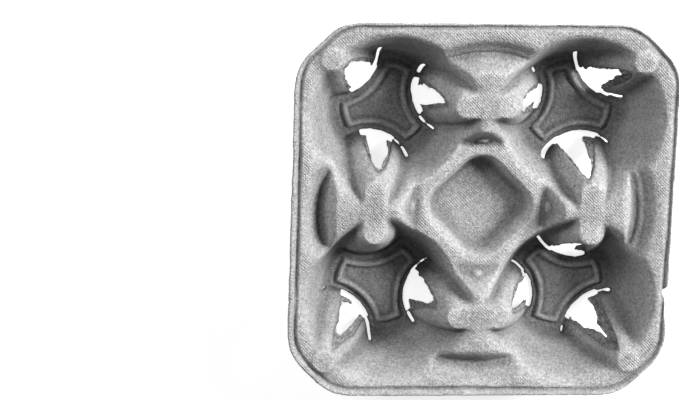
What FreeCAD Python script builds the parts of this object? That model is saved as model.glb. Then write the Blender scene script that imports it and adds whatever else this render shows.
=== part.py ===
import FreeCAD, Part
import math
import os

os.makedirs("parts", exist_ok=True)

# Overall sizes, all lengths in millimetres
side = 216.0
height = 44.5
sheet = 2.0
corner_cut = 25.4
corner_round = 28.0

# Rim bead and the shelf inside it
bead_width = 3.2
shelf_drop = 1.2

# The four cup pockets
pocket_offset = 52.4
pocket_mouth_radius = 50.0
pocket_wall_radius = 47.0
pocket_floor_radius = 30.0
pocket_flare_drop = 7.0
pocket_floor_round = 3.0

# Fingers that stand beside the spines, two to a spine
spine_finger_along = 61.0
spine_finger_across = 11.8
spine_finger_foot = 24.0
spine_finger_top = 7.0

# Fingers in the four outer corners
corner_finger_offset = 85.2
corner_finger_foot = 28.6
corner_finger_top = 7.2
corner_finger_drop = 0.5
finger_top_round = 1.6

# Curved slits between finger feet and pocket floors
slit_width = 1.3
slit_height = 10.5
spine_slit_half_angle = 52.0
corner_slit_half_angle = 46.0

# Tongue openings in the finger flanks
spine_window_half_angle = 22.0
corner_window_half_angle = 20.0
window_tip_gap = 2.2
window_tip_half_width = 2.2

# Raised star on each pocket floor
star_reach = 24.4
star_setback = 5.0
star_rib_width = 3.4
star_rib_height = 1.2

# Stepped crescent between each tower and the rim
crescent_centre = 26.5
crescent_outer_radius = 72.0
first_step_run = 4.0
first_step_depth = 4.0
ledge_width = 3.0
second_step_run = 3.0
second_step_depth = 5.2
valley_width = 4.0
tower_slope_run = 5.0

# Middle of the tray
plateau_drop = 14.5
plateau_half = 38.0
plateau_slope_run = 9.0
recess_depth = 13.0
recess_floor_half = 19.8
recess_mouth_half = 25.2
recess_corner_round = 9.0
nub_distance = 39.7
nub_radius = 2.75
nub_rise = 4.2

# Allowance so that cutting shapes pass right through
over = 6.0

up = FreeCAD.Vector(0, 0, 1)
quarter_turns = (0.0, 90.0, 180.0, 270.0)


def at(x, y, z):
    return FreeCAD.Vector(x, y, z)


def turned(shape, angle):
    copy = shape.copy()
    copy.rotate(at(0, 0, 0), up, angle)
    return copy


def all_round(shape):
    return [turned(shape, angle) for angle in quarter_turns]


def frustum(x, y, z_low, z_high, r_low, r_high):
    if abs(r_low - r_high) < 0.001:
        return Part.makeCylinder(r_low, z_high - z_low, at(x, y, z_low))
    return Part.makeCone(r_low, r_high, z_high - z_low, at(x, y, z_low))


def outline_prism(half, z_low, z_high):
    # Square with cut corners, each cut softened where it meets the sides
    shift = side / 2.0 - half
    cut = corner_cut - shift * (2.0 - math.sqrt(2.0))
    run = half - cut
    points = [
        at(half, -run, z_low), at(half, run, z_low), at(run, half, z_low), at(-run, half, z_low),
        at(-half, run, z_low), at(-half, -run, z_low), at(-run, -half, z_low), at(run, -half, z_low),
    ]
    wire = Part.makePolygon(points + [points[0]])
    prism = Part.Face(wire).extrude(at(0, 0, z_high - z_low))
    uprights = []
    for edge in prism.Edges:
        a = edge.Vertexes[0].Point
        b = edge.Vertexes[1].Point
        if abs(a.x - b.x) < 0.01 and abs(a.y - b.y) < 0.01:
            uprights.append(edge)
    return prism.makeFillet(corner_round - shift, uprights)


def square_frustum(half_low, half_high, z_low, z_high):
    rings = []
    for half, z in ((half_low, z_low), (half_high, z_high)):
        rings.append([at(-half, -half, z), at(half, -half, z), at(half, half, z), at(-half, half, z)])
    low, high = rings
    faces = [low[::-1], high]
    for i in range(4):
        j = (i + 1) % 4
        faces.append([low[i], low[j], high[j], high[i]])
    sheets = [Part.Face(Part.makePolygon(points + [points[0]])) for points in faces]
    return Part.Solid(Part.Shell(sheets))


def level_edges(shape, z):
    found = []
    for edge in shape.Edges:
        box = edge.BoundBox
        if abs(box.ZMin - z) < 0.01 and abs(box.ZMax - z) < 0.01:
            found.append(edge)
    return found


def pocket_hollow(inset):
    # Cup pocket: a cone that flares out at the mouth, widened by the inset
    z_shelf = height - shelf_drop
    slope = (pocket_wall_radius - pocket_floor_radius) / (z_shelf - sheet)
    grow = inset * math.sqrt(1.0 + slope * slope)
    z_floor = sheet - inset
    z_open = height + over
    r_floor = pocket_floor_radius + grow - slope * inset
    r_open = r_floor + slope * (z_open - z_floor)
    cone = frustum(pocket_offset, pocket_offset, z_floor, z_open, r_floor, r_open)
    cone = cone.makeFillet(pocket_floor_round + inset, level_edges(cone, z_floor))
    z_flare = z_shelf - pocket_flare_drop
    r_flare = pocket_floor_radius + slope * (z_flare - sheet)
    flare_slope = (pocket_mouth_radius - r_flare) / pocket_flare_drop
    flare_grow = inset * math.sqrt(1.0 + flare_slope * flare_slope)
    r_low = r_flare - flare_slope * over + flare_grow
    r_high = r_flare + flare_slope * (z_open - z_flare) + flare_grow
    return cone.fuse(frustum(pocket_offset, pocket_offset, z_flare - over, z_open, r_low, r_high))


def finger_radii(foot, top, z_low, z_top, inset):
    # Radii of a finger's cone at its low end and at its top, narrowed by the inset
    slope = (foot - top) / (z_top - sheet)
    shrink = inset * math.sqrt(1.0 + slope * slope)
    return foot + slope * (sheet - z_low) - shrink, top + slope * inset - shrink


def finger(x, y, foot, top, z_top, inset):
    # Upright cone under one face of the sheet
    z_low = -over
    z_high = z_top - inset
    r_low, r_high = finger_radii(foot, top, z_low, z_top, inset)
    cone = frustum(x, y, z_low, z_high, r_low, r_high)
    softening = finger_top_round - 0.5 * inset
    return cone.makeFillet(softening, level_edges(cone, z_high))


def cross_arm(inset):
    # Ridge that joins the two fingers of a spine through its tower, with their own slope
    z_low = -over
    z_high = height - inset
    r_low, r_high = finger_radii(spine_finger_foot, spine_finger_top, z_low, height, inset)
    x = -spine_finger_across
    y = spine_finger_along
    points = [
        at(x, y - r_low, z_low), at(x, y + r_low, z_low), at(x, y + r_high, z_high), at(x, y - r_high, z_high),
    ]
    section = Part.Face(Part.makePolygon(points + [points[0]]))
    arm = section.extrude(at(2.0 * spine_finger_across, 0, 0))
    crests = []
    for edge in level_edges(arm, z_high):
        if edge.BoundBox.XMax - edge.BoundBox.XMin > 1.0:
            crests.append(edge)
    return arm.makeFillet(finger_top_round - 0.5 * inset, crests)


def crescent_hollow(inset):
    # Two curved steps down from the shelf, then the outer slope of the tower
    top = height - shelf_drop
    z_ledge = top - first_step_depth
    z_valley = z_ledge - second_step_depth
    r_ledge_out = crescent_outer_radius - first_step_run
    r_ledge_in = r_ledge_out - ledge_width
    r_valley_out = r_ledge_in - second_step_run
    r_valley_in = r_valley_out - valley_width
    slope_one = first_step_run / first_step_depth
    slope_two = second_step_run / second_step_depth
    slope_tower = tower_slope_run / (height - z_valley)
    grow_one = inset * (math.sqrt(1.0 + slope_one ** 2) - slope_one)
    grow_two = inset * (math.sqrt(1.0 + slope_two ** 2) - slope_two)
    shrink = inset * (math.sqrt(1.0 + slope_tower ** 2) - slope_tower)
    reach = top - z_ledge + over
    upper = frustum(0, crescent_centre, z_ledge - inset, top + over, r_ledge_out + grow_one,
                    r_ledge_out + grow_one + slope_one * (reach + inset))
    lower = frustum(0, crescent_centre, z_valley - inset, top + over, r_valley_out + grow_two,
                    r_valley_out + grow_two + slope_two * (top + over - z_valley + inset))
    low = z_valley - inset - over
    core_low = r_valley_in - shrink + slope_tower * over
    core_high = r_valley_in - shrink - slope_tower * (top + over - z_valley + inset)
    core = frustum(0, crescent_centre, low, top + over, core_low, core_high)
    keep = Part.makeBox(110.0, 60.0, 60.0, at(-55.0, 66.0, 0.0))
    return upper.fuse(lower).cut(core).common(keep)


def middle_hollows(inset):
    z_plateau = height - plateau_drop
    slope = plateau_slope_run / plateau_drop
    grow = inset * (math.sqrt(1.0 + slope * slope) - slope)
    half_low = plateau_half + grow
    half_high = half_low + slope * (plateau_drop + over + inset)
    plateau = square_frustum(half_low, half_high, z_plateau - inset, height + over)
    recess_slope = (recess_mouth_half - recess_floor_half) / recess_depth
    recess_grow = inset * (math.sqrt(1.0 + recess_slope ** 2) - recess_slope)
    z_recess = z_plateau - recess_depth
    low = recess_floor_half + recess_grow
    high = low + recess_slope * (recess_depth + inset + over)
    recess = square_frustum(low, high, z_recess - inset, z_plateau + over)
    slanted = []
    for edge in recess.Edges:
        box = edge.BoundBox
        if box.ZMax - box.ZMin > 1.0:
            slanted.append(edge)
    recess = recess.makeFillet(recess_corner_round + inset, slanted)
    return [plateau, turned(recess, 45.0)]


def side_fingers(inset):
    fingers = []
    for across in (-spine_finger_across, spine_finger_across):
        one = finger(across, spine_finger_along, spine_finger_foot, spine_finger_top, height, inset)
        fingers.extend(all_round(one))
    return fingers


def corner_fingers(inset):
    one = finger(corner_finger_offset, corner_finger_offset, corner_finger_foot, corner_finger_top,
                 height - corner_finger_drop, inset)
    return all_round(one)


def underneath(inset):
    # Everything below one face of the sheet: the upper face at 0, the lower at the full thickness
    spread = 0.0 if inset == 0.0 else over
    low = 0.0 if inset == 0.0 else -over
    body = outline_prism(side / 2.0 + spread, low, height - inset)
    shelf = outline_prism(side / 2.0 - bead_width + inset, height - shelf_drop - inset, height + over)
    tower_reach = crescent_centre + crescent_outer_radius - 8.0
    spared = Part.makeBox(2 * tower_reach, 2 * tower_reach, height + 4 * over,
                          at(-tower_reach, -tower_reach, -over))
    within_mouths = math.sqrt(2.0) * pocket_offset + 0.75 * pocket_mouth_radius
    spared = spared.common(turned(Part.makeBox(2 * within_mouths, 2 * within_mouths, height + 4 * over,
                                               at(-within_mouths, -within_mouths, -over)), 45.0))
    hollows = [shelf.cut(spared)]
    hollows.extend(all_round(pocket_hollow(inset)))
    hollows.extend(all_round(crescent_hollow(inset)))
    hollows.extend(middle_hollows(inset))
    for hollow in hollows:
        body = body.cut(hollow)
    for one in all_round(cross_arm(inset)) + side_fingers(inset) + corner_fingers(inset):
        body = body.fuse(one)
    if inset == 0.0:
        body = body.common(outline_prism(side / 2.0, 0.0, height))
    return body


def slit(x, y, foot, half_angle):
    # Curved slot hugging the foot of a finger on its pocket side
    toward = math.degrees(math.atan2(pocket_offset - y, pocket_offset - x))
    z_low = -over
    tall = slit_height - z_low
    sector = Part.makeCylinder(foot + slit_width, tall, at(0, 0, 0), up, 2.0 * half_angle)
    sector = sector.cut(Part.makeCylinder(foot, tall + 2.0, at(0, 0, -1.0)))
    sector.rotate(at(0, 0, 0), up, toward - half_angle)
    sector.translate(at(x, y, z_low))
    return sector


def window(x, y, foot, top, half_angle):
    # Tongue opening through the flank, from the slit up towards the finger's top
    toward = math.degrees(math.atan2(pocket_offset - y, pocket_offset - x))
    near = top + window_tip_gap
    far = foot + 0.5 * slit_width
    wide = far * math.tan(math.radians(half_angle))
    points = [
        at(near, -window_tip_half_width, 0), at(far, -wide, 0), at(far, wide, 0),
        at(near, window_tip_half_width, 0),
    ]
    wire = Part.makePolygon(points + [points[0]])
    prism = Part.Face(wire).extrude(at(0, 0, height + 2 * over))
    tips = []
    for edge in prism.Edges:
        box = edge.BoundBox
        if box.ZMax - box.ZMin > 1.0 and abs(box.XMin - near) < 0.01:
            tips.append(edge)
    prism = prism.makeFillet(window_tip_half_width * 0.6, tips)
    prism.rotate(at(0, 0, 0), up, toward)
    prism.translate(at(x, y, -over))
    return prism


def star_rib():
    # Raised outline of a three-pointed star, one pocket
    feet = (
        (spine_finger_across, spine_finger_along, spine_finger_foot),
        (spine_finger_along, spine_finger_across, spine_finger_foot),
        (corner_finger_offset, corner_finger_offset, corner_finger_foot),
    )
    z_low = 0.5 * sheet
    tall = 0.5 * sheet + star_rib_height
    rib = Part.makeCylinder(star_reach, tall, at(pocket_offset, pocket_offset, z_low))
    core = Part.makeCylinder(star_reach - star_rib_width, tall + 2.0,
                             at(pocket_offset, pocket_offset, z_low - 1.0))
    for x, y, foot in feet:
        rib = rib.cut(Part.makeCylinder(foot + star_setback, tall + 2.0, at(x, y, z_low - 1.0)))
        inner = foot + star_setback + star_rib_width
        core = core.cut(Part.makeCylinder(inner, tall + 4.0, at(x, y, z_low - 2.0)))
    return rib.cut(core)


def nub():
    # Small button at the foot of a tower's inner slope
    z_low = height - plateau_drop - 0.5 * sheet
    z_high = height - plateau_drop + nub_rise
    button = Part.makeCylinder(nub_radius, z_high - z_low, at(0, nub_distance, z_low))
    return button.makeFillet(0.9, level_edges(button, z_high))


def carrier():
    shell = underneath(0.0).cut(underneath(sheet))
    for one in all_round(star_rib()):
        shell = shell.fuse(one)
    for one in all_round(nub()):
        shell = shell.fuse(one)
    feet = (
        (spine_finger_across, spine_finger_along, spine_finger_foot, spine_finger_top,
         spine_slit_half_angle, spine_window_half_angle),
        (spine_finger_along, spine_finger_across, spine_finger_foot, spine_finger_top,
         spine_slit_half_angle, spine_window_half_angle),
        (corner_finger_offset, corner_finger_offset, corner_finger_foot, corner_finger_top,
         corner_slit_half_angle, corner_window_half_angle),
    )
    for x, y, foot, top, slit_half_angle, window_half_angle in feet:
        for one in all_round(slit(x, y, foot, slit_half_angle)):
            shell = shell.cut(one)
        for one in all_round(window(x, y, foot, top, window_half_angle)):
            shell = shell.cut(one)
    return shell


tray = carrier()
solids = sorted(tray.Solids, key=lambda s: s.Volume, reverse=True)
print("solids", len(solids), [round(s.Volume, 1) for s in solids])
box = tray.BoundBox
print("box", round(box.XMin, 3), round(box.YMin, 3), round(box.ZMin, 3),
      round(box.XMax, 3), round(box.YMax, 3), round(box.ZMax, 3))
print("valid", tray.isValid(), "volume cm3", round(tray.Volume / 1000.0, 2))
solids[0].exportStep("parts/cup_carrier.step")
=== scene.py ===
import bpy
import math
import numpy as np
from mathutils import Matrix, Vector


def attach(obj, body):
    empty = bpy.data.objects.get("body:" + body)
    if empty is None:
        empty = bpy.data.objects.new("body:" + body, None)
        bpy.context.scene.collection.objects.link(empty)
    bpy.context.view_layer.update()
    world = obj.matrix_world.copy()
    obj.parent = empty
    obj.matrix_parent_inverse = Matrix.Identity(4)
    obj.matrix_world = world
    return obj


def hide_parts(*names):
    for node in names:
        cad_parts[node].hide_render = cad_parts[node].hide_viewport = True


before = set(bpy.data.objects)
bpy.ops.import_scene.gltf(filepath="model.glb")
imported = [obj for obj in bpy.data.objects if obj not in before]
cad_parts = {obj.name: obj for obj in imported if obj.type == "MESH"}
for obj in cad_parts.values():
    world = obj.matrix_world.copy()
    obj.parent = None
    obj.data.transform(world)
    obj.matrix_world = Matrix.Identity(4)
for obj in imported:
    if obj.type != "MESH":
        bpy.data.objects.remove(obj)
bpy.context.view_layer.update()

# Sizes from the frame, in millimetres
side = 216.0
height = 44.5
sheet = 2.0
edge_round = 0.7
corner_cut = 25.4
corner_round = 28.0
pocket_offset = 52.4
crescent_centre = 26.5
plateau_z = 30.0
plateau_half = 38.0
plateau_flare = 9.0
recess_z = 17.0
recess_floor_half = 19.8
recess_corner = 9.0
recess_run = 5.4
star_reach = 24.4
star_setback = 5.0
star_rise = 1.8
button_distance = 39.1

# Corner fingers: where foot and top stand, measured along both axes
corner_foot_at = 85.2
corner_top_at = 86.8
corner_foot_radius = 28.6
corner_top_radius = 6.6
corner_top_z = 44.0

# Tower fingers: two to a tower, joined by an arm
arm_half_length = 11.8
arm_along = 61.0
arm_foot_radius = 24.0
arm_top_radius = 6.6
tower_top_z = height

# Small forms on the upper face
lip_z = 44.1
groove_in = 3.3
moat_radius = 7.6
trough_at = 35.8

# Chip in the right edge: where it begins, measured towards the front, and how deep it goes
chip_start = 42.6
chip_depth = 3.2
edge_inset = 0.30

# How softly one face runs into the next, and how far the whole form is smoothed
wall_soften = 2.0
plateau_soften = 1.0
recess_soften = 2.4
corner_finger_soften = 5.5
tower_finger_soften = 2.4
arm_soften = 1.8
crest_soften = 1.6
form_blur = 0.85
finish_blur = 0.35

# How ragged the formed and the torn edges of the holes are
formed_fray = 0.22
torn_fray = 0.75
tear_seed = 100
seeds_apart = 7

# How finely the shell is sampled
voxel = 0.7
plan_margin = 3.0
height_margin = 2.4
triangles_wanted = 194000

# Distance inside something that isn't near at all
far_outside = -50.0


# Smooth random fields, the same on every run

def drift(x, y, scale, seed):
    # Soft noise between about -1 and 1 over a plane, with lumps about scale across
    rng = np.random.default_rng(seed)
    lattice = rng.uniform(-1.0, 1.0, (64, 64))
    u = (x / scale) + 17.3
    v = (y / scale) + 31.7
    iu = np.floor(u).astype(int)
    iv = np.floor(v).astype(int)
    fu = u - iu
    fv = v - iv
    fu = fu * fu * (3.0 - 2.0 * fu)
    fv = fv * fv * (3.0 - 2.0 * fv)
    a = lattice[iu % 64, iv % 64]
    b = lattice[(iu + 1) % 64, iv % 64]
    c = lattice[iu % 64, (iv + 1) % 64]
    d = lattice[(iu + 1) % 64, (iv + 1) % 64]
    return (a * (1 - fu) + b * fu) * (1 - fv) + (c * (1 - fu) + d * fu) * fv


def ragged(x, y, seed):
    # Torn-edge noise: big bites and fine fibres together
    return (0.55 * drift(x, y, 3.1, seed) + 0.35 * drift(x, y, 1.5, seed + 1)
            + 0.22 * drift(x, y, 0.8, seed + 2))


def blurred(field, sigma_cells):
    # The field smoothed over about so many cells, its edges held
    reach = int(math.ceil(3.0 * sigma_cells))
    steps = np.arange(-reach, reach + 1)
    weights = np.exp(-0.5 * (steps / sigma_cells) ** 2)
    weights = weights / weights.sum()
    for axis in (0, 1):
        padded = np.pad(field, [(reach, reach) if k == axis else (0, 0) for k in (0, 1)], mode="edge")
        total = np.zeros_like(field)
        for weight, step in zip(weights, range(2 * reach + 1)):
            if axis == 0:
                total += weight * padded[step:step + field.shape[0], :]
            else:
                total += weight * padded[:, step:step + field.shape[1]]
        field = total
    return field


def step_up(value, start, width):
    # Smooth rise from 0 to 1 that begins at start and takes width
    t = np.clip((value - start) / width, 0.0, 1.0)
    return t * t * (3.0 - 2.0 * t)


# Plan shapes

def outline_distance(x, y):
    # Distance outside the rounded, corner-cut square, negative inside
    half = side / 2.0
    inner = half - corner_round
    run = half - corner_cut
    turn = math.tan(math.radians(22.5))
    cut_in = (half + run) / math.sqrt(2.0) - corner_round
    ax = np.abs(x)
    ay = np.abs(y)
    aslant = (ax + ay) / math.sqrt(2.0) - cut_in
    corner_low = run - corner_round * turn
    px = ax - inner
    py = ay - corner_low
    qx = ax - corner_low
    qy = ay - inner
    result = np.maximum(np.maximum(px, qy), aslant)
    result = np.where((py > 0) & (px > 0) & (py < px), np.hypot(px, py), result)
    result = np.where((qx > 0) & (qy > 0) & (qx < qy), np.hypot(qx, qy), result)
    return result - corner_round


class Finger:
    # One gripping finger: a cone, upright or slightly leaning, torn open on its pocket side.
    # Its kind is corner, upper (the tower towards the front or back) or side (left or right).
    def __init__(self, sx, sy, kind, torn, tongue, slits, cracks):
        self.kind = kind
        self.torn = torn
        self.tongue = tongue
        self.slits = slits
        self.cracks = cracks
        if kind == "corner":
            foot = (corner_foot_at, corner_foot_at)
            top = (corner_top_at, corner_top_at)
            self.foot_radius = corner_foot_radius
            self.narrowing = corner_foot_radius - corner_top_radius
            self.top_z = corner_top_z
        else:
            foot = (arm_half_length, arm_along) if kind == "upper" else (arm_along, arm_half_length)
            top = foot
            self.foot_radius = arm_foot_radius
            self.narrowing = arm_foot_radius - arm_top_radius
            self.top_z = tower_top_z
        self.foot = (foot[0] * sx, foot[1] * sy)
        self.top = (top[0] * sx, top[1] * sy)
        self.lean = (self.top[0] - self.foot[0], self.top[1] - self.foot[1])
        self.toward = math.atan2(pocket_offset * sy - foot[1] * sy, pocket_offset * sx - foot[0] * sx)

    def climb(self, x, y):
        # How far up the cone a point in plan lies: 0 at the foot, 1 at the top
        qx = x - self.foot[0]
        qy = y - self.foot[1]
        a = self.lean[0] ** 2 + self.lean[1] ** 2 - self.narrowing ** 2
        b = 2.0 * (self.foot_radius * self.narrowing - qx * self.lean[0] - qy * self.lean[1])
        c = qx * qx + qy * qy - self.foot_radius ** 2
        root = np.sqrt(np.maximum(b * b - 4.0 * a * c, 0.0))
        return (-b + root) / (2.0 * a)

    def surface(self, x, y):
        # Height of the cone over the plan, flat on top
        return sheet + (self.top_z - sheet) * np.minimum(self.climb(x, y), 1.0)

    def around(self, x, y, climb):
        # Angle about the cone's axis in degrees, 0 towards the pocket's middle, and the radius
        cx = self.foot[0] + self.lean[0] * climb
        cy = self.foot[1] + self.lean[1] * climb
        angle = np.degrees(np.arctan2(y - cy, x - cx) - self.toward)
        angle = (angle + 180.0) % 360.0 - 180.0
        return angle, np.hypot(x - cx, y - cy)

    def within(self, rows, angle, z, radius, away):
        # Distance inside the shape given by rows of height, low angle and high angle
        heights = [row[0] for row in rows]
        low = np.interp(z, heights, [row[1] for row in rows])
        high = np.interp(z, heights, [row[2] for row in rows])
        per_degree = np.maximum(radius, 3.0) * math.pi / 180.0
        sides = np.minimum((angle - low) * per_degree, (high - angle) * per_degree)
        rise = (self.top_z - sheet) / self.narrowing
        ends = (heights[-1] - z) / rise
        foot_side = self.foot_radius + 1.5 - away
        return np.minimum(np.minimum(sides, ends), foot_side)

    def opening(self, x, y, rows):
        # Distance inside the opening given by rows, for points in plan
        climb = np.clip(self.climb(x, y), -0.2, 1.0)
        z = sheet + (self.top_z - sheet) * climb
        angle, radius = self.around(x, y, climb)
        away = np.hypot(x - self.foot[0], y - self.foot[1])
        return self.within(rows, angle, z, radius, away)

    def about(self, x, y):
        # Angle about the foot in degrees, 0 towards the pocket's middle, and the distance outside it
        qx = x - self.foot[0]
        qy = y - self.foot[1]
        angle = np.degrees(np.arctan2(qy, qx) - self.toward)
        return (angle + 180.0) % 360.0 - 180.0, np.hypot(qx, qy) - self.foot_radius

    def slit(self, x, y, wobble):
        # Distance inside the open parts of the curved slit round the foot
        angle, outward = self.about(x, y)
        found = np.full_like(x, far_outside)
        for low, high, half_width, shift in self.slits:
            band = half_width + wobble - np.abs(outward - shift)
            ends = np.minimum(angle - low, high - angle) * self.foot_radius * math.pi / 180.0
            found = np.maximum(found, np.minimum(band, ends))
        return found

    def crack(self, x, y):
        # Strength, 0 to 1, of the parts of the slit that stayed closed
        angle, outward = self.about(x, y)
        found = np.zeros_like(x)
        for low, high, shift in self.cracks:
            line = np.exp(-((outward - shift) / 0.75) ** 2)
            ends = step_up(np.minimum(angle - low, high - angle), 0.0, 4.0)
            found = np.maximum(found, line * ends)
        return found


# Torn holes, then the larger tongues that the torn skins still partly fill: each row is height,
# low angle, high angle, as seen on the finger's own cone. Then the open parts of the slit (low
# angle, high angle, half width, shift outwards) and its closed parts (low, high, shift).
fingers = [
    # Back left pocket
    Finger(-1, 1, "corner",
           [(2, -16, 21), (10, -18, 28), (20, -18, 31), (28, -12, 32), (34, -5, 30), (38, 4, 24)],
           [(0, -18, 23), (12, -21, 31), (24, -19, 35), (34, -10, 36), (41, 2, 30)],
           [(22, 50, 0.95, -0.7), (-17, 24, 0.6, 0.1)], [(-46, -17, 0.3)]),
    Finger(-1, 1, "upper",
           [(2, -18, 13), (10, -27, 12), (20, -27, 8), (28, -24, 3), (32, -17, -5)],
           [(0, -27, 24), (12, -30, 19), (24, -29, 12), (33, -24, 4), (36, -14, -2)],
           [(-50, -35, 0.85, 0.2), (-14, 24, 0.55, 0.9), (26, 50, 0.5, 2.0)], [(-35, -14, 0.5)]),
    Finger(-1, 1, "side",
           [(2, -17, 17), (6, -20, 19), (12, -22, 18), (20, -22, 17), (27, -20, 14), (31, -14, 9)],
           [(0, -23, 24), (12, -24, 22), (24, -24, 20), (32, -19, 14), (36, -8, 6)],
           [(-52, -38, 0.65, 0.4), (-36, -25, 0.55, 0.5), (-25, 14, 0.4, 0.9)], [(14, 50, 0.6)]),
    # Back right pocket
    Finger(1, 1, "corner",
           [(2, -18, 12), (8, -22, 12), (14, -21, 9), (18, -20, 8), (21, -19, 5), (29, -17, 4),
            (31, -16, 1)],
           [(0, -20, 15), (5, -23, 16), (15, -23, 18), (21, -21, 22), (28, -18, 24), (34, -12, 20),
            (38, -4, 10)],
           [(-43, -20, 0.9, 1.8), (-22, 14, 1.2, 0.9), (13, 26, 0.9, 0.0), (24, 41, 0.85, -1.1)], []),
    Finger(1, 1, "upper",
           [(2, -6, 15), (6, -11, 18), (12, -17, 21), (20, -22, 26), (30, -23, 27), (37, -14, 24),
            (40, -8, 16)],
           [(0, -14, 19), (12, -22, 25), (24, -27, 30), (35, -24, 31), (41, -14, 22)],
           [(39, 50, 0.6, -1.2)], [(-46, -12, 0.2), (14, 39, -0.3)]),
    Finger(1, 1, "side",
           [(2, -14, 27), (10, -17, 25), (20, -20, 22), (27, -25, 19), (32, -22, 16), (38, -14, 10),
            (41, -4, 4)],
           [(0, -34, 29), (10, -30, 27), (20, -28, 24), (30, -27, 20), (38, -16, 13), (42, -5, 5)],
           [(20, 53, 1.2, 0.9), (-20, 22, 0.9, 0.6), (-50, -18, 0.5, 0.5)], []),
    # Front right pocket
    Finger(1, -1, "corner",
           [(2, -12, 22), (8, -12, 21), (13, -11, 21), (17, -6, 17), (19, -1, 13), (22, -2, 9), (26, -2, 6),
            (30, -1, 4)],
           [(0, -24, 24), (10, -24, 24), (20, -22, 25), (30, -20, 26), (37, -16, 22), (41, -6, 10)],
           [(-12, 20, 0.7, 0.8), (-34, -12, 0.4, -0.3), (-40, -34, 0.75, -0.6), (34, 41, 0.6, 1.0)],
           [(20, 46, 0.6)]),
    Finger(1, -1, "upper",
           [(2, -18, 18), (10, -19, 21), (20, -17, 22), (28, -12, 23), (35, -4, 17), (38, -2, 6)],
           [(0, -28, 20), (12, -27, 26), (24, -24, 30), (34, -16, 26), (40, -6, 10)],
           [(24, 50, 0.5, 0.7), (-20, 26, 0.5, -0.1)], [(-46, -20, 0.3)]),
    Finger(1, -1, "side",
           [(0, -22, 20), (4, -23, 14), (10, -24, 9), (20, -25, 6), (30, -24, 2), (37, -20, -4),
            (41, -16, -8)],
           [(0, -24, 26), (12, -25, 25), (24, -26, 20), (34, -25, 10), (42, -17, -4)],
           [(-50, -20, 0.65, 1.8), (-24, 20, 0.8, 0.8)], []),
    # Front left pocket
    Finger(-1, -1, "corner",
           [(2, -16, 0), (4, -18, 6), (6, -18, 18), (12, -16, 18), (20, -13, 16), (26, -6, 16),
            (29, -2, 8)],
           [(0, -22, 22), (10, -22, 19), (20, -26, 18), (30, -18, 18), (38, -6, 13), (41, -4, 6)],
           [(-47, -14, 0.7, -0.2), (-16, 0, 0.7, 0.3), (40, 46, 0.55, 1.0)], [(0, 40, 0.9)]),
    Finger(-1, -1, "upper",
           [(2, -24, 19), (10, -27, 14), (18, -24, 11), (24, -20, 7), (29, -13, 0)],
           [(0, -26, 34), (8, -28, 30), (16, -26, 24), (24, -23, 14), (32, -14, 5)],
           [(-22, 20, 1.0, 0.9), (-50, -21, 0.4, 1.9), (19, 36, 0.35, 1.2), (35, 50, 0.75, 0.7)], []),
    Finger(-1, -1, "side",
           [(-9, 0, 0), (-8, 0, 0)],
           [(-9, 0, 0), (-8, 0, 0)],
           [], [(-46, 46, 0.2), (-30, 24, -3.4)]),
]

pockets = [(-1, 1), (1, 1), (1, -1), (-1, -1)]


def pocket_wall(reach):
    # Height of a pocket's wall against the distance from the pocket's middle
    reaches = [0.0, 30.0, 37.0, 41.5, 44.5, 46.6, 48.6, 51.0, 54.0, 60.0]
    heights = [2.0, 2.0, 19.0, 30.0, 36.6, 40.4, 42.6, 44.0, 45.2, 50.0]
    return np.interp(reach, reaches, heights)


# Heights along each spine against the distance from its crescents' centre: tower, valley,
# ledge, shelf. The pulp slumped by a different amount on each side.
spine_profiles = {
    "right": ([0.0, 55.6, 60.2, 61.8, 64.0, 66.0, 69.2, 71.8, 74.4, 76.8, 300.0],
              [44.5, 44.5, 35.0, 34.2, 37.2, 37.0, 40.4, 42.3, 43.0, 43.2, 43.2]),
    "back": ([0.0, 53.4, 56.0, 60.0, 62.4, 63.4, 65.6, 67.0, 71.0, 74.5, 300.0],
             [44.5, 44.5, 42.4, 38.2, 34.9, 34.4, 37.5, 37.6, 42.0, 43.2, 43.2]),
    "left": ([0.0, 55.4, 57.6, 60.8, 62.6, 64.2, 66.2, 68.4, 70.6, 72.6, 76.0, 300.0],
             [44.5, 44.5, 43.0, 38.2, 33.8, 32.4, 34.4, 36.6, 39.6, 42.0, 43.2, 43.2]),
    "front": ([0.0, 54.0, 57.6, 62.6, 64.4, 66.2, 68.4, 71.5, 74.5, 300.0],
              [44.5, 44.5, 42.4, 36.0, 35.4, 37.0, 39.6, 42.0, 43.2, 43.2]),
}


def spine_surface(x, y):
    # Height of the four spines before anything is pressed into them
    along = np.maximum(np.abs(x), np.abs(y))
    across = np.minimum(np.abs(x), np.abs(y))
    reach = np.hypot(across, along - crescent_centre)
    sideways = np.abs(x) > np.abs(y)
    parts = {
        "right": sideways & (x > 0), "left": sideways & (x <= 0),
        "back": ~sideways & (y > 0), "front": ~sideways & (y <= 0),
    }
    top = np.zeros_like(x)
    for name, part in parts.items():
        top = np.where(part, np.interp(reach, *spine_profiles[name]), top)
    return top


def lower_of(a, b, soften):
    # The lower of two heights, rounded over where they meet
    near = np.maximum(soften - np.abs(a - b), 0.0)
    return np.minimum(a, b) - near * near / (4.0 * soften)


def higher_of(a, b, soften):
    # The higher of two heights, with the hollow where they meet filled in softly above the floors
    higher = np.maximum(a, b)
    soften = 0.6 + soften * step_up(higher, 5.0, 8.0)
    near = np.maximum(soften - np.abs(a - b), 0.0)
    return higher + near * near / (4.0 * soften)


def rounded_square(a, b, half, corner):
    # Distance outside a square with rounded corners
    qa = np.abs(a) - half + corner
    qb = np.abs(b) - half + corner
    outer = np.hypot(np.maximum(qa, 0.0), np.maximum(qb, 0.0))
    return outer + np.minimum(np.maximum(qa, qb), 0.0) - corner


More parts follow.
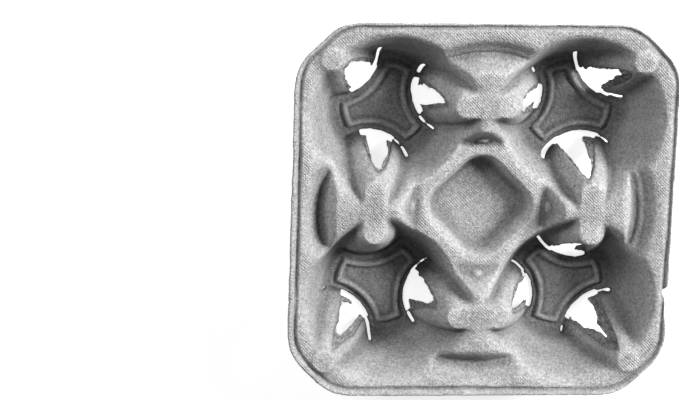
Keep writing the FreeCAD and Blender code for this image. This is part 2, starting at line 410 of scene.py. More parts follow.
def star_edge(x, y, sx, sy):
    # Distance inside the three-armed star on a pocket's floor
    edge = star_reach - np.hypot(x - sx * pocket_offset, y - sy * pocket_offset)
    for finger in fingers:
        if finger.foot[0] * sx > 0 and finger.foot[1] * sy > 0:
            away = np.hypot(x - finger.foot[0], y - finger.foot[1]) - finger.foot_radius - star_setback
            edge = np.minimum(edge, away)
    return edge


def groove_distance(x, y):
    # How far in from the edge the fold groove runs: nearer to it at the right and at the back
    return groove_in - 1.1 * np.clip((x + y) / 110.0, -1.0, 1.0) + 0.3 * drift(x, y, 14.0, 15)


def moulded_form(x, y):
    # The drawn form: spines, pockets, plateau, recess, fingers and arms
    along = np.maximum(np.abs(x), np.abs(y))
    top = spine_surface(x, y)
    for sx, sy in pockets:
        wall = pocket_wall(np.hypot(x - sx * pocket_offset, y - sy * pocket_offset))
        top = lower_of(top, wall, wall_soften)
    plateau = plateau_z + np.maximum(along - plateau_half, 0.0) * (height - plateau_z) / plateau_flare
    top = lower_of(top, plateau, plateau_soften)
    diagonal = (x + y) / math.sqrt(2.0)
    crosswise = (x - y) / math.sqrt(2.0)
    outside = rounded_square(diagonal, crosswise, recess_floor_half, recess_corner)
    recess = recess_z + np.maximum(outside, 0.0) * (plateau_z - recess_z) / recess_run
    top = lower_of(top, recess, recess_soften)
    for finger in fingers:
        soften = corner_finger_soften if finger.kind == "corner" else tower_finger_soften
        top = higher_of(top, finger.surface(x, y), soften)
    for sign in (-1, 1):
        for a, b in ((x, y), (y, x)):
            arm = np.hypot(np.maximum(np.abs(a) - arm_half_length, 0.0), b - sign * arm_along)
            climb = np.minimum((arm_foot_radius - arm) / (arm_foot_radius - arm_top_radius), 1.0)
            top = higher_of(top, sheet + (tower_top_z - sheet) * climb, arm_soften)
    return lower_of(top, tower_top_z + 0.3, crest_soften)


def hollow(distance, depth, half_width):
    # A rounded groove along the line where the distance is nought
    return depth * np.exp(-(distance / half_width) ** 2)


def with_lip(top, x, y):
    # Lip and fold groove round the edge, outside the shelf
    inside = -outline_distance(x, y)
    groove_at = groove_distance(x, y)
    lip = lip_z - 0.30 * ((inside - 1.4) / 1.6) ** 2
    blend = step_up(inside, groove_at - 0.9, 0.9)
    top = np.where(inside < groove_at, lip * (1.0 - blend) + top * blend, top)
    deep = 1.45 + 0.35 * drift(x, y, 8.0, 16) + 0.5 * step_up(-x, 90.0, 12.0)
    return top - hollow(inside - groove_at, deep, 1.0)


def with_stars(top, x, y):
    # Raised rib of the star on each pocket floor, with a groove at either foot
    for sx, sy in pockets:
        edge = star_edge(x, y, sx, sy)
        rib = step_up(edge, -0.4, 1.0) * (1.0 - step_up(edge, 2.3, 1.0))
        top = top + star_rise * rib * (1.0 + 0.35 * drift(x, y, 9.0, 17))
        top = top - hollow(edge + 1.0, 0.45, 0.8) - hollow(edge - 3.9, 0.45, 0.8)
    return top


def with_buttons(top, x, y):
    # Oval buttons at the feet of the towers' inner slopes
    for bx, by in ((1, 0), (-1, 0), (0, 1), (0, -1)):
        away = x * bx + y * by - button_distance
        aside = x * by + y * bx
        dome = 1.0 - (away / 2.3) ** 2 - (aside / 3.4) ** 2
        button = plateau_z + 0.4 + 3.0 * np.sqrt(np.maximum(dome, 0.0))
        top = np.maximum(top, np.where(dome > 0, button, 0.0))
    return top


def upper_surface(x, y, cell):
    # Height of the tray's upper face over the plan
    along = np.maximum(np.abs(x), np.abs(y))
    across = np.minimum(np.abs(x), np.abs(y))
    top = blurred(moulded_form(x, y), form_blur / cell)

    # A faint moat round each corner pad
    for finger in fingers:
        if finger.kind == "corner":
            away = np.hypot(x - finger.top[0], y - finger.top[1])
            top = top - hollow(away - moat_radius, 0.45, 0.9)

    # Trough between the plateau and each tower's inner slope
    top = top - hollow(along - trough_at, 0.9, 1.7) * (1.0 - step_up(across, 10.0, 4.0))
    top = with_buttons(with_stars(with_lip(top, x, y), x, y), x, y)

    # Closed slits, pressed in as rough grooves
    for number, finger in enumerate(fingers):
        top = top - 1.3 * finger.crack(x, y) * (0.75 + 0.5 * drift(x, y, 2.0, 330 + number))

    # Dents and swells of the dried pulp
    top = top + 0.16 * drift(x, y, 13.0, 18) + 0.09 * drift(x, y, 5.0, 19)
    return blurred(top, finish_blur / cell)


def gradient_length(field, cell):
    # How much longer the sloping surface is than its plan
    gx = np.gradient(field, cell, axis=0)
    gy = np.gradient(field, cell, axis=1)
    return np.sqrt(1.0 + gx * gx + gy * gy)


def cut_away(x, y):
    # Distance inside everything that is missing from the sheet
    missing = np.full_like(x, far_outside)
    for number, finger in enumerate(fingers):
        near = np.hypot(x - finger.foot[0], y - finger.foot[1]) < finger.foot_radius + 6.0
        px = x[near]
        py = y[near]
        rough = ragged(px, py, tear_seed + seeds_apart * number)
        formed = finger.opening(px, py, finger.tongue) + formed_fray * rough
        torn = finger.opening(px, py, finger.torn) + torn_fray * rough
        slit = finger.slit(px, py, 0.2 * drift(px, py, 3.0, 300 + number))
        here = np.maximum(np.maximum(formed, torn), slit)
        missing[near] = np.maximum(missing[near], here)
    return missing


def edge_line(x, y):
    # Distance outside the tray's outer edge, with its wobble, fluff and the chip on the right side
    fluff = 0.22 * drift(x, y, 5.0, 11) + 0.20 * drift(x, y, 1.7, 12) + 0.10 * drift(x, y, 0.9, 13)
    edge = outline_distance(x, y) + fluff + edge_inset
    ahead = -y - chip_start
    bite = step_up(ahead, 0.0, 4.0) * (1.0 - 0.60 * step_up(ahead, 4.9, 3.0))
    chip = bite * (1.0 - step_up(ahead, 13.4, 12.0))
    return edge + chip_depth * chip * (x > 0)


def shell_volume(cell):
    # Signed field of the pulp sheet: negative inside the material
    half = side / 2.0 + plan_margin
    count = int(round(2.0 * half / cell)) + 1
    axis = np.linspace(-half, half, count)
    step = axis[1] - axis[0]
    x, y = np.meshgrid(axis, axis, indexing="ij")
    top = upper_surface(x, y, step)
    steep = gradient_length(top, step)
    missing = cut_away(x, y)
    z_axis = np.arange(-height_margin, height + height_margin + cell, cell)
    thickness = sheet + 0.16 * drift(x, y, 9.0, 21) + 0.10 * drift(x, y, 2.6, 22)
    field = np.empty((count, count, len(z_axis)), dtype=np.float32)
    limit = np.maximum(edge_line(x, y), missing)
    for k, z in enumerate(z_axis):
        depth = (z - top) / steep
        through = np.maximum(depth, -depth - thickness)
        field[:, :, k] = -lower_of(-through, -limit, edge_round)
    return axis, z_axis, field, top, missing


def surface_net(axis, z_axis, field):
    # One vertex in each cell that the surface crosses, one quad across each crossing edge
    inside = field < 0.0
    nx, ny, nz = field.shape
    corners = [(i, j, k) for i in (0, 1) for j in (0, 1) for k in (0, 1)]
    total = np.zeros((nx - 1, ny - 1, nz - 1), dtype=np.uint8)
    for i, j, k in corners:
        total += inside[i:nx - 1 + i, j:ny - 1 + j, k:nz - 1 + k]
    active = (total > 0) & (total < 8)
    cells = np.argwhere(active)
    number = np.full(active.shape, -1, dtype=np.int32)
    number[active] = np.arange(len(cells), dtype=np.int32)
    summed = np.zeros((len(cells), 3))
    hits = np.zeros(len(cells))
    edges = []
    for first in corners:
        for direction in range(3):
            if first[direction] == 0:
                second = tuple(1 if n == direction else first[n] for n in range(3))
                edges.append((first, second))
    for first, second in edges:
        a = field[cells[:, 0] + first[0], cells[:, 1] + first[1], cells[:, 2] + first[2]].astype(float)
        b = field[cells[:, 0] + second[0], cells[:, 1] + second[1], cells[:, 2] + second[2]].astype(float)
        crossing = (a < 0) != (b < 0)
        share = np.where(crossing, a / np.where(crossing, a - b, 1.0), 0.0)
        point = np.array(first) + share[:, None] * (np.array(second) - np.array(first))
        summed += np.where(crossing[:, None], point, 0.0)
        hits += crossing
    places = cells + summed / hits[:, None]
    step = axis[1] - axis[0]
    z_step = z_axis[1] - z_axis[0]
    points = np.empty_like(places)
    points[:, 0] = axis[0] + places[:, 0] * step
    points[:, 1] = axis[0] + places[:, 1] * step
    points[:, 2] = z_axis[0] + places[:, 2] * z_step
    quads = []
    for direction in range(3):
        u = (direction + 1) % 3
        v = (direction + 2) % 3
        low = [slice(1, -1), slice(1, -1), slice(1, -1)]
        high = [slice(1, -1), slice(1, -1), slice(1, -1)]
        low[direction] = slice(0, -1)
        high[direction] = slice(1, None)
        start = inside[tuple(low)]
        end = inside[tuple(high)]
        where = np.argwhere(start != end)
        flip = start[start != end]
        base = where + 1
        base[:, direction] = where[:, direction]
        ring = []
        for du, dv in ((-1, -1), (0, -1), (0, 0), (-1, 0)):
            cell = base.copy()
            cell[:, u] += du
            cell[:, v] += dv
            ring.append(number[cell[:, 0], cell[:, 1], cell[:, 2]])
        ring = np.stack(ring, axis=1)
        ring[~flip] = ring[~flip][:, ::-1]
        quads.append(ring)
    quads = np.concatenate(quads)
    return points, quads[(quads >= 0).all(axis=1)]


def eased(points, quads, rounds, amount):
    # Evens the net out with its neighbours
    count = len(points)
    a = np.concatenate([quads[:, 0], quads[:, 1], quads[:, 2], quads[:, 3]])
    b = np.concatenate([quads[:, 1], quads[:, 2], quads[:, 3], quads[:, 0]])
    weight = np.bincount(a, minlength=count) + np.bincount(b, minlength=count)
    for _ in range(rounds):
        moved = np.zeros_like(points)
        for n in range(3):
            moved[:, n] = np.bincount(a, points[b, n], count) + np.bincount(b, points[a, n], count)
        points = points + amount * (moved / weight[:, None] - points)
    return points


def biggest_body(points, quads):
    # Leaves out loose crumbs: keeps the largest connected group
    label = np.arange(len(points))
    for _ in range(400):
        lowest = label[quads].min(axis=1)
        fresh = label.copy()
        for n in range(4):
            np.minimum.at(fresh, quads[:, n], lowest)
        fresh = fresh[fresh]
        if (fresh == label).all():
            break
        label = fresh
    names, counts = np.unique(label, return_counts=True)
    main = names[counts.argmax()]
    keep = label == main
    renumber = np.cumsum(keep) - 1
    wanted = quads[keep[quads].all(axis=1)]
    return points[keep], renumber[wanted]


def mesh_object(name, points, faces):
    # A smooth-shaded object from points in millimetres
    mesh = bpy.data.meshes.new(name)
    corners = faces.shape[1]
    mesh.vertices.add(len(points))
    mesh.vertices.foreach_set("co", (points * 0.001).astype(np.float32).ravel())
    mesh.loops.add(faces.size)
    mesh.loops.foreach_set("vertex_index", faces.astype(np.int32).ravel())
    mesh.polygons.add(len(faces))
    mesh.polygons.foreach_set("loop_start", np.arange(0, faces.size, corners, dtype=np.int32))
    mesh.update(calc_edges=True)
    mesh.validate()
    mesh.polygons.foreach_set("use_smooth", np.full(len(mesh.polygons), True))
    thing = bpy.data.objects.new(name, mesh)
    bpy.context.scene.collection.objects.link(thing)
    return thing


def apply_modifiers(thing):
    # Makes the modifiers' result the object's own mesh
    graph = bpy.context.evaluated_depsgraph_get()
    mesh = bpy.data.meshes.new_from_object(thing.evaluated_get(graph))
    old = thing.data
    thing.modifiers.clear()
    thing.data = mesh
    bpy.data.meshes.remove(old)


def sampled(field, axis, x, y):
    # Value of a plan field at scattered points
    step = axis[1] - axis[0]
    u = np.clip((x - axis[0]) / step, 0, len(axis) - 1.001)
    v = np.clip((y - axis[0]) / step, 0, len(axis) - 1.001)
    i = u.astype(int)
    j = v.astype(int)
    fu = u - i
    fv = v - j
    low = field[i, j] * (1 - fu) + field[i + 1, j] * fu
    high = field[i, j + 1] * (1 - fu) + field[i + 1, j + 1] * fu
    return low * (1 - fv) + high * fv


def note(thing, name, values):
    # Stores one number for each vertex, for the material to read
    layer = thing.data.attributes.new(name, "FLOAT", "POINT")
    layer.data.foreach_set("value", values.astype(np.float32))


def paint_edge_light_and_shade(shell, axis, top, missing):
    # Painted highlight on ridges, on the lip and in a ring round each corner pad, painted shade in creases,
    # and painted shade along cut edges and closed cracks
    cell = axis[1] - axis[0]
    # Ridges are painted lighter and creases darker: painted highlight and painted shade
    fine = np.clip((top - blurred(top, 1.2 / cell)) / 0.26, -1.0, 1.0)
    broad = np.clip((top - blurred(top, 3.2 / cell)) / 1.2, -1.0, 1.0)
    plan_x, plan_y = np.meshgrid(axis, axis, indexing="ij")
    inside = -outline_distance(plan_x, plan_y)
    # The lip is painted lighter: painted highlight
    lip = 1.0 - step_up(inside - groove_distance(plan_x, plan_y), -1.3, 1.0)
    painted_highlight_and_shade = np.clip(0.6 * fine + 0.4 * broad, -1.0, 1.0) * (1.0 - lip) + 0.75 * lip
    # A painted highlight ring round each corner pad, with a little painted shade inside it
    for finger in fingers:
        if finger.kind == "corner":
            away = np.hypot(plan_x - finger.top[0], plan_y - finger.top[1])
            ring = 0.5 * np.exp(-((away - 6.0) / 0.9) ** 2) - 0.15 * np.exp(-((away - 3.0) / 2.0) ** 2)
            painted_highlight_and_shade = np.clip(painted_highlight_and_shade + ring, -1.0, 1.0)
    # Painted shade along the edges of holes and slits and along the closed cracks
    cut = 1.0 - step_up(np.abs(missing), 0.2, 1.0)
    for number, finger in enumerate(fingers):
        fuzz = 0.8 + 0.6 * ragged(plan_x, plan_y, 360 + seeds_apart * number)
        cut = np.maximum(cut, 1.5 * finger.crack(plan_x, plan_y) * fuzz)
    count = len(shell.data.vertices)
    flat = np.empty(count * 3, dtype=np.float32)
    shell.data.vertices.foreach_get("co", flat)
    points = flat.reshape(count, 3) * 1000.0
    x = points[:, 0]
    y = points[:, 1]
    upper = np.abs(points[:, 2] - sampled(top, axis, x, y)) < 0.8
    note(shell, "painted_highlight_and_shade", np.where(upper, sampled(painted_highlight_and_shade, axis, x, y), 0.0))
    note(shell, "painted_cut_shade", sampled(cut, axis, x, y))


def build_shell():
    # The whole tray as one piece, thinned out to the wanted number of triangles
    axis, z_axis, field, top, missing = shell_volume(voxel)
    points, quads = surface_net(axis, z_axis, field)
    points, quads = biggest_body(points, quads)
    points = eased(points, quads, 2, 0.5)
    points[:, 2] = np.clip(points[:, 2], 0.02, height - 0.02)
    shell = mesh_object("pulp_tray", points, quads)
    if 2 * len(quads) > triangles_wanted:
        thin = shell.modifiers.new("thin_out", "DECIMATE")
        thin.ratio = triangles_wanted / (2.0 * len(quads))
        apply_modifiers(shell)
    polygons = shell.data.polygons
    polygons.foreach_set("use_smooth", np.full(len(polygons), True))
    paint_edge_light_and_shade(shell, axis, top, missing)
    return shell


# Torn skins left in the tongues

skin_thickness = 0.55
skin_depth_least = 0.35
skin_depth_most = 3.2
strands_at_most = 26


def skin_grid(finger, number):
    # Angle and climb grid over a finger's cone, with how far inside the skin each point is
    angles = np.arange(-44.0, 50.0, 0.75)
    climbs = np.linspace(-0.06, 1.0, 120)
    angle, climb = np.meshgrid(angles, climbs, indexing="ij")
    radius = finger.foot_radius - finger.narrowing * climb
    z = sheet + (finger.top_z - sheet) * climb
    around = finger.toward + np.radians(angle)
    centre_x = finger.foot[0] + finger.lean[0] * climb
    centre_y = finger.foot[1] + finger.lean[1] * climb
    x = centre_x + radius * np.cos(around)
    y = centre_y + radius * np.sin(around)
    away = np.hypot(x - finger.foot[0], y - finger.foot[1])
    rough = ragged(x, y, tear_seed + seeds_apart * number)
    streak = drift(angle * 1.6, z * 0.16, 1.0, 500 + number)
    formed = finger.within(finger.tongue, angle, z, radius, away) + formed_fray * rough
    torn = finger.within(finger.torn, angle, z, radius, away) + torn_fray * rough
    torn = torn - 0.55 * streak - 0.5
    foot_gap = finger.foot_radius - 0.4 - away
    inside = np.minimum(np.minimum(formed + 1.1, -torn), foot_gap)
    lean = math.atan2(finger.narrowing, finger.top_z - sheet)
    depth = 0.95 + 0.40 * drift(x, y, 4.0, 540 + number) + 0.22 * streak
    depth = depth + 0.8 * step_up(formed, 0.0, 3.0) * (0.6 + 0.6 * drift(x, y, 6.0, 560 + number))
    curl = np.exp(-np.maximum(-torn, 0.0) / 1.3) * drift(x, y, 3.0, 580 + number)
    depth = np.clip(depth + 1.1 * curl, skin_depth_least, skin_depth_most)
    normal = np.stack([np.cos(around) * math.cos(lean), np.sin(around) * math.cos(lean),
                       np.full_like(x, math.sin(lean))], axis=-1)
    outer = np.stack([x, y, z], axis=-1) - normal * depth[..., None]
    return inside, outer, normal


def snapped(inside, points):
    # Moves the vertices beside the torn line onto it
    du = np.gradient(inside, axis=0)
    dv = np.gradient(inside, axis=1)
    scale = -inside / np.maximum(du * du + dv * dv, 1e-6)
    su = np.clip(scale * du, -0.9, 0.9)
    sv = np.clip(scale * dv, -0.9, 0.9)
    along_u = np.gradient(points, axis=0)
    along_v = np.gradient(points, axis=1)
    return points + su[..., None] * along_u + sv[..., None] * along_v


def skin_solid(inside, outer, normal, thickness):
    # Closed thin solid over the grid cells that lie inside the skin
    middle = (inside[:-1, :-1] + inside[1:, :-1] + inside[:-1, 1:] + inside[1:, 1:]) / 4.0
    keep = middle > 0.0
    rows, columns = inside.shape
    index = np.arange(rows * columns).reshape(rows, columns)
    beside = np.zeros((rows, columns), dtype=int)
    for i in (0, 1):
        for j in (0, 1):
            beside[i:rows - 1 + i, j:columns - 1 + j] += keep
    edge = (beside > 0) & (beside < 4)
    moved = np.where(edge[..., None], snapped(inside, outer), outer)
    inner = moved - normal * thickness
    points = np.concatenate([moved.reshape(-1, 3), inner.reshape(-1, 3)])
    shift = rows * columns
    a = index[:-1, :-1][keep]
    b = index[1:, :-1][keep]
    c = index[1:, 1:][keep]
    d = index[:-1, 1:][keep]
    faces = [np.stack([a, b, c, d], axis=1), np.stack([d, c, b, a], axis=1) + shift]
    padded = np.pad(keep, 1)
    walls = (
        (padded[:-2, 1:-1], (0, 0), (0, 1)), (padded[2:, 1:-1], (1, 1), (1, 0)),
        (padded[1:-1, :-2], (1, 0), (0, 0)), (padded[1:-1, 2:], (0, 1), (1, 1)),
    )
    for neighbour, first, second in walls:
        open_side = keep & ~neighbour
        p = index[first[0]:rows - 1 + first[0], first[1]:columns - 1 + first[1]][open_side]
        q = index[second[0]:rows - 1 + second[0], second[1]:columns - 1 + second[1]][open_side]
        faces.append(np.stack([q, p, p + shift, q + shift], axis=1))
    faces = np.concatenate(faces)
    used = np.unique(faces)
    renumber = np.zeros(len(points), dtype=int)
    renumber[used] = np.arange(len(used))
    return points[used], renumber[faces]


def strands(number, inside, outer, normal):
    # Loose fibres that stick out of the torn line
    rng = np.random.default_rng(700 + number)
    near = np.argwhere((np.abs(inside[2:-2, 2:-2]) < 0.25)) + 2
    points = []
    faces = []
    if len(near) == 0:
        return np.zeros((0, 3)), np.zeros((0, 4), dtype=int)
    for i, j in near[rng.choice(len(near), min(strands_at_most, len(near)), replace=False)]:
        base = outer[i, j] - normal[i, j] * 0.2
        along_u = outer[i + 1, j] - outer[i - 1, j]
        along_v = outer[i, j + 1] - outer[i, j - 1]
        slope_u = inside[i + 1, j] - inside[i - 1, j]
        slope_v = inside[i, j + 1] - inside[i, j - 1]
        outward = -(along_u / (along_u @ along_u) * slope_u + along_v / (along_v @ along_v) * slope_v)
        outward = outward / (np.linalg.norm(outward) + 1e-9)
        aside = np.cross(normal[i, j], outward)
        heading = outward + rng.normal(0.0, 0.55) * aside + rng.normal(0.0, 0.30) * normal[i, j]
        heading = heading / np.linalg.norm(heading)
        bend = rng.normal(0.0, 0.35) * aside + rng.normal(0.0, 0.25) * normal[i, j]
        length = rng.uniform(0.9, 2.6)
        thick = rng.uniform(0.10, 0.20)
        first = len(points)
        for step in range(4):
            share = step / 3.0
            centre = base + heading * (length * share - 0.7) + bend * length * share * share
            size = thick * (1.0 - 0.6 * share)
            for corner in range(3):
                turn = 2.0 * math.pi * corner / 3.0
                points.append(centre + size * (math.cos(turn) * aside + math.sin(turn) * normal[i, j]))
        for step in range(3):
            for corner in range(3):
                following = (corner + 1) % 3
                low = first + 3 * step
                faces.append((low + corner, low + following, low + 3 + following, low + 3 + corner))
        faces.append((first + 2, first + 1, first, first))
        faces.append((first + 9, first + 10, first + 11, first + 11))
    return np.array(points), np.array(faces)


def build_skins():
    # All torn skins and their strands as one piece
    points = []
    faces = []
    total = 0
    for number, finger in enumerate(fingers):
        inside, outer, normal = skin_grid(finger, number)
        for more_points, more_faces in (skin_solid(inside, outer, normal, skin_thickness),
                                        strands(number, inside, outer, normal)):
            points.append(more_points)
            faces.append(more_faces + total)
            total += len(more_points)
    points = np.concatenate(points)
    faces = np.concatenate(faces)
    points[:, 2] = np.clip(points[:, 2], 0.05, height - 0.05)
    mesh = bpy.data.meshes.new("torn_skins")
    rings = [tuple(dict.fromkeys(ring)) for ring in faces.tolist()]
    mesh.from_pydata((points * 0.001).tolist(), [], rings)
    mesh.validate()
    mesh.update()
    mesh.polygons.foreach_set("use_smooth", np.full(len(mesh.polygons), True))
    skins = bpy.data.objects.new("torn_skins", mesh)
    bpy.context.scene.collection.objects.link(skins)
    return skins


# Materials

# Spacing of the forming screen's wires, in metres
weave_pitch = 0.00128


class Nodes:
    # Short ways to add and join shader nodes in one material
    def __init__(self, name):
        self.material = bpy.data.materials.new(name)
        self.material.use_nodes = True
        self.nodes = self.material.node_tree.nodes
        self.links = self.material.node_tree.links
        self.shader = self.nodes["Principled BSDF"]
        self.place = self.nodes.new("ShaderNodeTexCoord").outputs["Object"]

    def noise(self, scale, detail, roughness, distortion=0.0, stretch=None):
        node = self.nodes.new("ShaderNodeTexNoise")
        node.inputs["Scale"].default_value = scale
        node.inputs["Detail"].default_value = detail
        node.inputs["Roughness"].default_value = roughness
        node.inputs["Distortion"].default_value = distortion
        source = self.place
        if stretch is not None:
            mapping = self.nodes.new("ShaderNodeMapping")
            mapping.inputs["Scale"].default_value = stretch
            self.links.new(self.place, mapping.inputs["Vector"])
            source = mapping.outputs["Vector"]
        self.links.new(source, node.inputs["Vector"])
        return node.outputs["Fac"]

    def calc(self, operation, a, b=None, c=None):
        node = self.nodes.new("ShaderNodeMath")
        node.operation = operation
        for slot, value in zip(node.inputs, (a, b, c)):
            if value is None:
                continue
            if isinstance(value, (int, float)):
                slot.default_value = value
            else:
                self.links.new(value, slot)
        return node.outputs["Value"]

    def fade(self, value, low, high):
        node = self.nodes.new("ShaderNodeMapRange")
        node.interpolation_type = "SMOOTHSTEP"
        node.inputs["From Min"].default_value = low
        node.inputs["From Max"].default_value = high
        self.links.new(value, node.inputs["Value"])
        return node.outputs["Result"]

    def noted(self, name):
        node = self.nodes.new("ShaderNodeAttribute")
        node.attribute_name = name
        return node.outputs["Fac"]

    def grey(self, tone):
        paint = self.nodes.new("ShaderNodeCombineColor")
        for channel in ("Red", "Green", "Blue"):
            self.links.new(tone, paint.inputs[channel])
        self.links.new(paint.outputs["Color"], self.shader.inputs["Base Color"])

    def bump(self, relief, strength, distance):
        node = self.nodes.new("ShaderNodeBump")
        node.inputs["Strength"].default_value = strength
        node.inputs["Distance"].default_value = distance
        self.links.new(relief, node.inputs["Height"])
        self.links.new(node.outputs["Normal"], self.shader.inputs["Normal"])


def flecks(kit, scale, size, share):
    # A few small dark specks of foreign fibre
    cells = kit.nodes.new("ShaderNodeTexVoronoi")
    cells.inputs["Scale"].default_value = scale
    kit.links.new(kit.place, cells.inputs["Vector"])
    dot = kit.calc("SUBTRACT", 1.0, kit.fade(cells.outputs["Distance"], 0.5 * size, size))
    chosen = kit.nodes.new("ShaderNodeSeparateColor")
    kit.links.new(cells.outputs["Color"], chosen.inputs["Color"])
    return kit.calc("MULTIPLY", dot, kit.fade(chosen.outputs["Red"], 1.0 - share, 1.01 - share))


def screen_weave(kit):
    # Print of the forming screen's wire, strongest on level faces
    split = kit.nodes.new("ShaderNodeSeparateXYZ")
    kit.links.new(kit.place, split.inputs["Vector"])
    x = split.outputs["X"]
    y = split.outputs["Y"]
    wobble = kit.calc("MULTIPLY", kit.noise(160.0, 2.0, 0.5), 0.0016)
    turn = 2.0 * math.pi / weave_pitch * 0.7071
    slanted = kit.calc("ADD", kit.calc("ADD", x, y), wobble)
    across = kit.calc("SINE", kit.calc("MULTIPLY", slanted, turn))
    along = kit.calc("SINE", kit.calc("MULTIPLY", kit.calc("SUBTRACT", x, y), turn * 0.8))
    weave = kit.calc("MULTIPLY", across, kit.calc("MULTIPLY_ADD", along, 0.45, 0.55))
    geometry = kit.nodes.new("ShaderNodeNewGeometry")
    facing = kit.nodes.new("ShaderNodeSeparateXYZ")
    kit.links.new(geometry.outputs["Normal"], facing.inputs["Vector"])
    raised = kit.fade(split.outputs["Z"], 0.004, 0.014)
    flat = kit.calc("MULTIPLY", kit.fade(facing.outputs["Z"], 0.84, 0.99), raised)
    level = kit.calc("MULTIPLY_ADD", flat, 0.85, 0.15)
    patch = kit.calc("MULTIPLY_ADD", kit.fade(kit.noise(60.0, 2.0, 0.5), 0.35, 0.62), 0.75, 0.25)
    # The level and raised masks are handed back too; they also carry the painted light on level faces and
    # the painted shade in the low parts
    return kit.calc("MULTIPLY", weave, kit.calc("MULTIPLY", level, patch)), flat, raised


def pulp_material():
    # Grey moulded pulp: fibres, grain, weave and specks, with painted light on level upper faces and
    # ridges, and painted shade in creases, along cut edges and in the low parts
    kit = Nodes("moulded_pulp")
    kit.shader.inputs["Roughness"].default_value = 0.95
    kit.shader.inputs["Specular IOR Level"].default_value = 0.12
    weave, flat, raised = screen_weave(kit)
    blotch = kit.fade(kit.noise(75.0, 3.0, 0.5), 0.3, 0.7)
    fibre = kit.fade(kit.noise(560.0, 3.0, 0.6, 0.8), 0.32, 0.68)
    grain = kit.fade(kit.noise(1000.0, 2.0, 0.6), 0.3, 0.7)
    tone = kit.calc("MULTIPLY_ADD", blotch, 0.08, 0.26)
    tone = kit.calc("MULTIPLY_ADD", fibre, 0.22, tone)
    tone = kit.calc("MULTIPLY_ADD", grain, 0.18, tone)
    tone = kit.calc("MULTIPLY_ADD", weave, 0.095, tone)
    tone = kit.calc("MULTIPLY_ADD", flecks(kit, 95.0, 0.085, 0.07), -0.34, tone)
    # Level upper faces painted lighter and the low parts painted darker: painted light and painted shade
    tone = kit.calc("MULTIPLY", tone, kit.calc("MULTIPLY_ADD", flat, 0.20, 0.86))
    tone = kit.calc("MULTIPLY", tone, kit.calc("MULTIPLY_ADD", raised, 0.16, 0.84))
    # Ridges, the lip and the pad rings painted lighter and creases painted darker: painted highlight and
    # painted shade
    painted_highlight_and_shade = kit.noted("painted_highlight_and_shade")
    tone = kit.calc("MULTIPLY", tone, kit.calc("MULTIPLY_ADD", painted_highlight_and_shade, 0.34, 1.0))
    # Painted shade along cut edges and closed cracks
    tone = kit.calc("MULTIPLY", tone, kit.calc("MULTIPLY_ADD", kit.noted("painted_cut_shade"), -0.42, 1.0))
    kit.grey(kit.calc("MINIMUM", kit.calc("MAXIMUM", tone, 0.03), 0.86))
    lump = kit.noise(430.0, 5.0, 0.62, 0.6)
    relief = kit.calc("MULTIPLY_ADD", weave, 0.34, kit.calc("MULTIPLY", lump, 1.6))
    relief = kit.calc("MULTIPLY_ADD", kit.noise(1100.0, 3.0, 0.65), 1.0, relief)
    kit.bump(relief, 0.9, 0.0007)
    return kit.material


def torn_material():
    # Dull fibrous face where the pulp has torn, its tone kept darker than the formed pulp as painted shade
    kit = Nodes("torn_pulp")
    kit.shader.inputs["Roughness"].default_value = 1.0
    kit.shader.inputs["Specular IOR Level"].default_value = 0.05
    streak = kit.fade(kit.noise(700.0, 4.0, 0.7, 0.8, (1.0, 1.0, 0.3)), 0.34, 0.66)
    clump = kit.fade(kit.noise(260.0, 3.0, 0.6), 0.3, 0.7)
    # A darker base tone than the formed pulp: painted shade
    tone = kit.calc("MULTIPLY_ADD", streak, 0.36, 0.14)
    tone = kit.calc("MULTIPLY_ADD", clump, 0.14, tone)
    kit.grey(kit.calc("MAXIMUM", tone, 0.03))
    relief = kit.calc("MULTIPLY_ADD", streak, 1.0, clump)
    kit.bump(relief, 0.9, 0.0008)
    return kit.material


def floor_material():
    # White table that still takes the tray's shadow
    material = bpy.data.materials.new("white_table")
    material.use_nodes = True
    nodes = material.node_tree.nodes
    links = material.node_tree.links
    nodes.clear()
    out = nodes.new("ShaderNodeOutputMaterial")
    diffuse = nodes.new("ShaderNodeBsdfDiffuse")
    diffuse.inputs["Color"].default_value = (0.75, 0.75, 0.75, 1.0)
    glow = nodes.new("ShaderNodeEmission")
    glow.inputs["Color"].default_value = (1.0, 1.0, 1.0, 1.0)
    path = nodes.new("ShaderNodeLightPath")
    seen = nodes.new("ShaderNodeMath")
    seen.operation = "MAXIMUM"
    links.new(path.outputs["Is Camera Ray"], seen.inputs[0])
    links.new(path.outputs["Is Glossy Ray"], seen.inputs[1])
    through = nodes.new("ShaderNodeMath")
    through.operation = "MAXIMUM"
    links.new(seen.outputs["Value"], through.inputs[0])
    links.new(path.outputs["Is Transmission Ray"], through.inputs[1])
    strength = nodes.new("ShaderNodeMath")
    strength.operation = "MULTIPLY"
    strength.inputs[1].default_value = 0.80
    links.new(through.outputs["Value"], strength.inputs[0])
    links.new(strength.outputs["Value"], glow.inputs["Strength"])
    both = nodes.new("ShaderNodeAddShader")
    links.new(diffuse.outputs["BSDF"], both.inputs[0])
    links.new(glow.outputs["Emission"], both.inputs[1])
    links.new(both.outputs["Shader"], out.inputs["Surface"])
    return material


# The object

shell = build_shell()
shell.data.materials.clear()
shell.data.materials.append(pulp_material())
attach(shell, "root")
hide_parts("cup_carrier")

skins = build_skins()
skins.data.materials.append(torn_material())
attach(skins, "root")


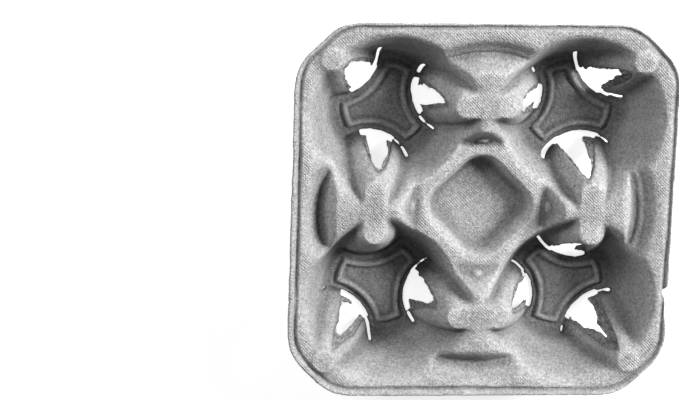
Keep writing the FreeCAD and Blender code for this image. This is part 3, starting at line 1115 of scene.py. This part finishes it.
# Floor, world and lamps

table_half = 3.0
floor_mesh = bpy.data.meshes.new("table")
floor_corners = [(sx * table_half, sy * table_half, 0) for sx, sy in ((-1, -1), (1, -1), (1, 1), (-1, 1))]
floor_mesh.from_pydata(floor_corners, [], [(0, 1, 2, 3)])
floor = bpy.data.objects.new("table", floor_mesh)
bpy.context.scene.collection.objects.link(floor)
floor.data.materials.append(floor_material())

world = bpy.data.worlds.new("room")
bpy.context.scene.world = world
world.use_nodes = True
world.node_tree.nodes["Background"].inputs["Color"].default_value = (1.0, 1.0, 1.0, 1.0)
world.node_tree.nodes["Background"].inputs["Strength"].default_value = 0.05


lamp_size = 0.7


def lamp(name, place, energy):
    # A square soft lamp that shines at the middle of the tray
    data = bpy.data.lights.new(name, "AREA")
    data.shape = "SQUARE"
    data.size = lamp_size
    data.energy = energy
    thing = bpy.data.objects.new(name, data)
    bpy.context.scene.collection.objects.link(thing)
    thing.location = place
    thing.rotation_euler = (-Vector(place)).to_track_quat("-Z", "Y").to_euler()


lamp("soft_key", (1.42, 0.76, 1.04), 52.0)
lamp("soft_fill", (-1.25, 1.05, 1.05), 14.0)


# Camera, fitted to the tray's outline and feet as they show in the picture

picture_width = 679.0
focal_pixels = 3004.0
sensor_width = 36.0
camera_place = (-0.2567, 0.4488, 1.6392)

camera_data = bpy.data.cameras.new("view")
camera_data.sensor_width = sensor_width
camera_data.sensor_fit = "HORIZONTAL"
camera_data.lens = focal_pixels / picture_width * sensor_width
camera_data.clip_start = 0.05
camera_data.clip_end = 20.0
camera = bpy.data.objects.new("view", camera_data)
bpy.context.scene.collection.objects.link(camera)
right = Vector((0.9944, 0.0317, 0.1008)).normalized()
upward = Vector((-0.0037, 0.9637, -0.2671))
upward = (upward - right * upward.dot(right)).normalized()
back = right.cross(upward)
turn = Matrix((right, upward, back)).transposed().to_4x4()
camera.matrix_world = Matrix.Translation(camera_place) @ turn
bpy.context.scene.camera = camera

bpy.context.scene.view_settings.view_transform = "Standard"
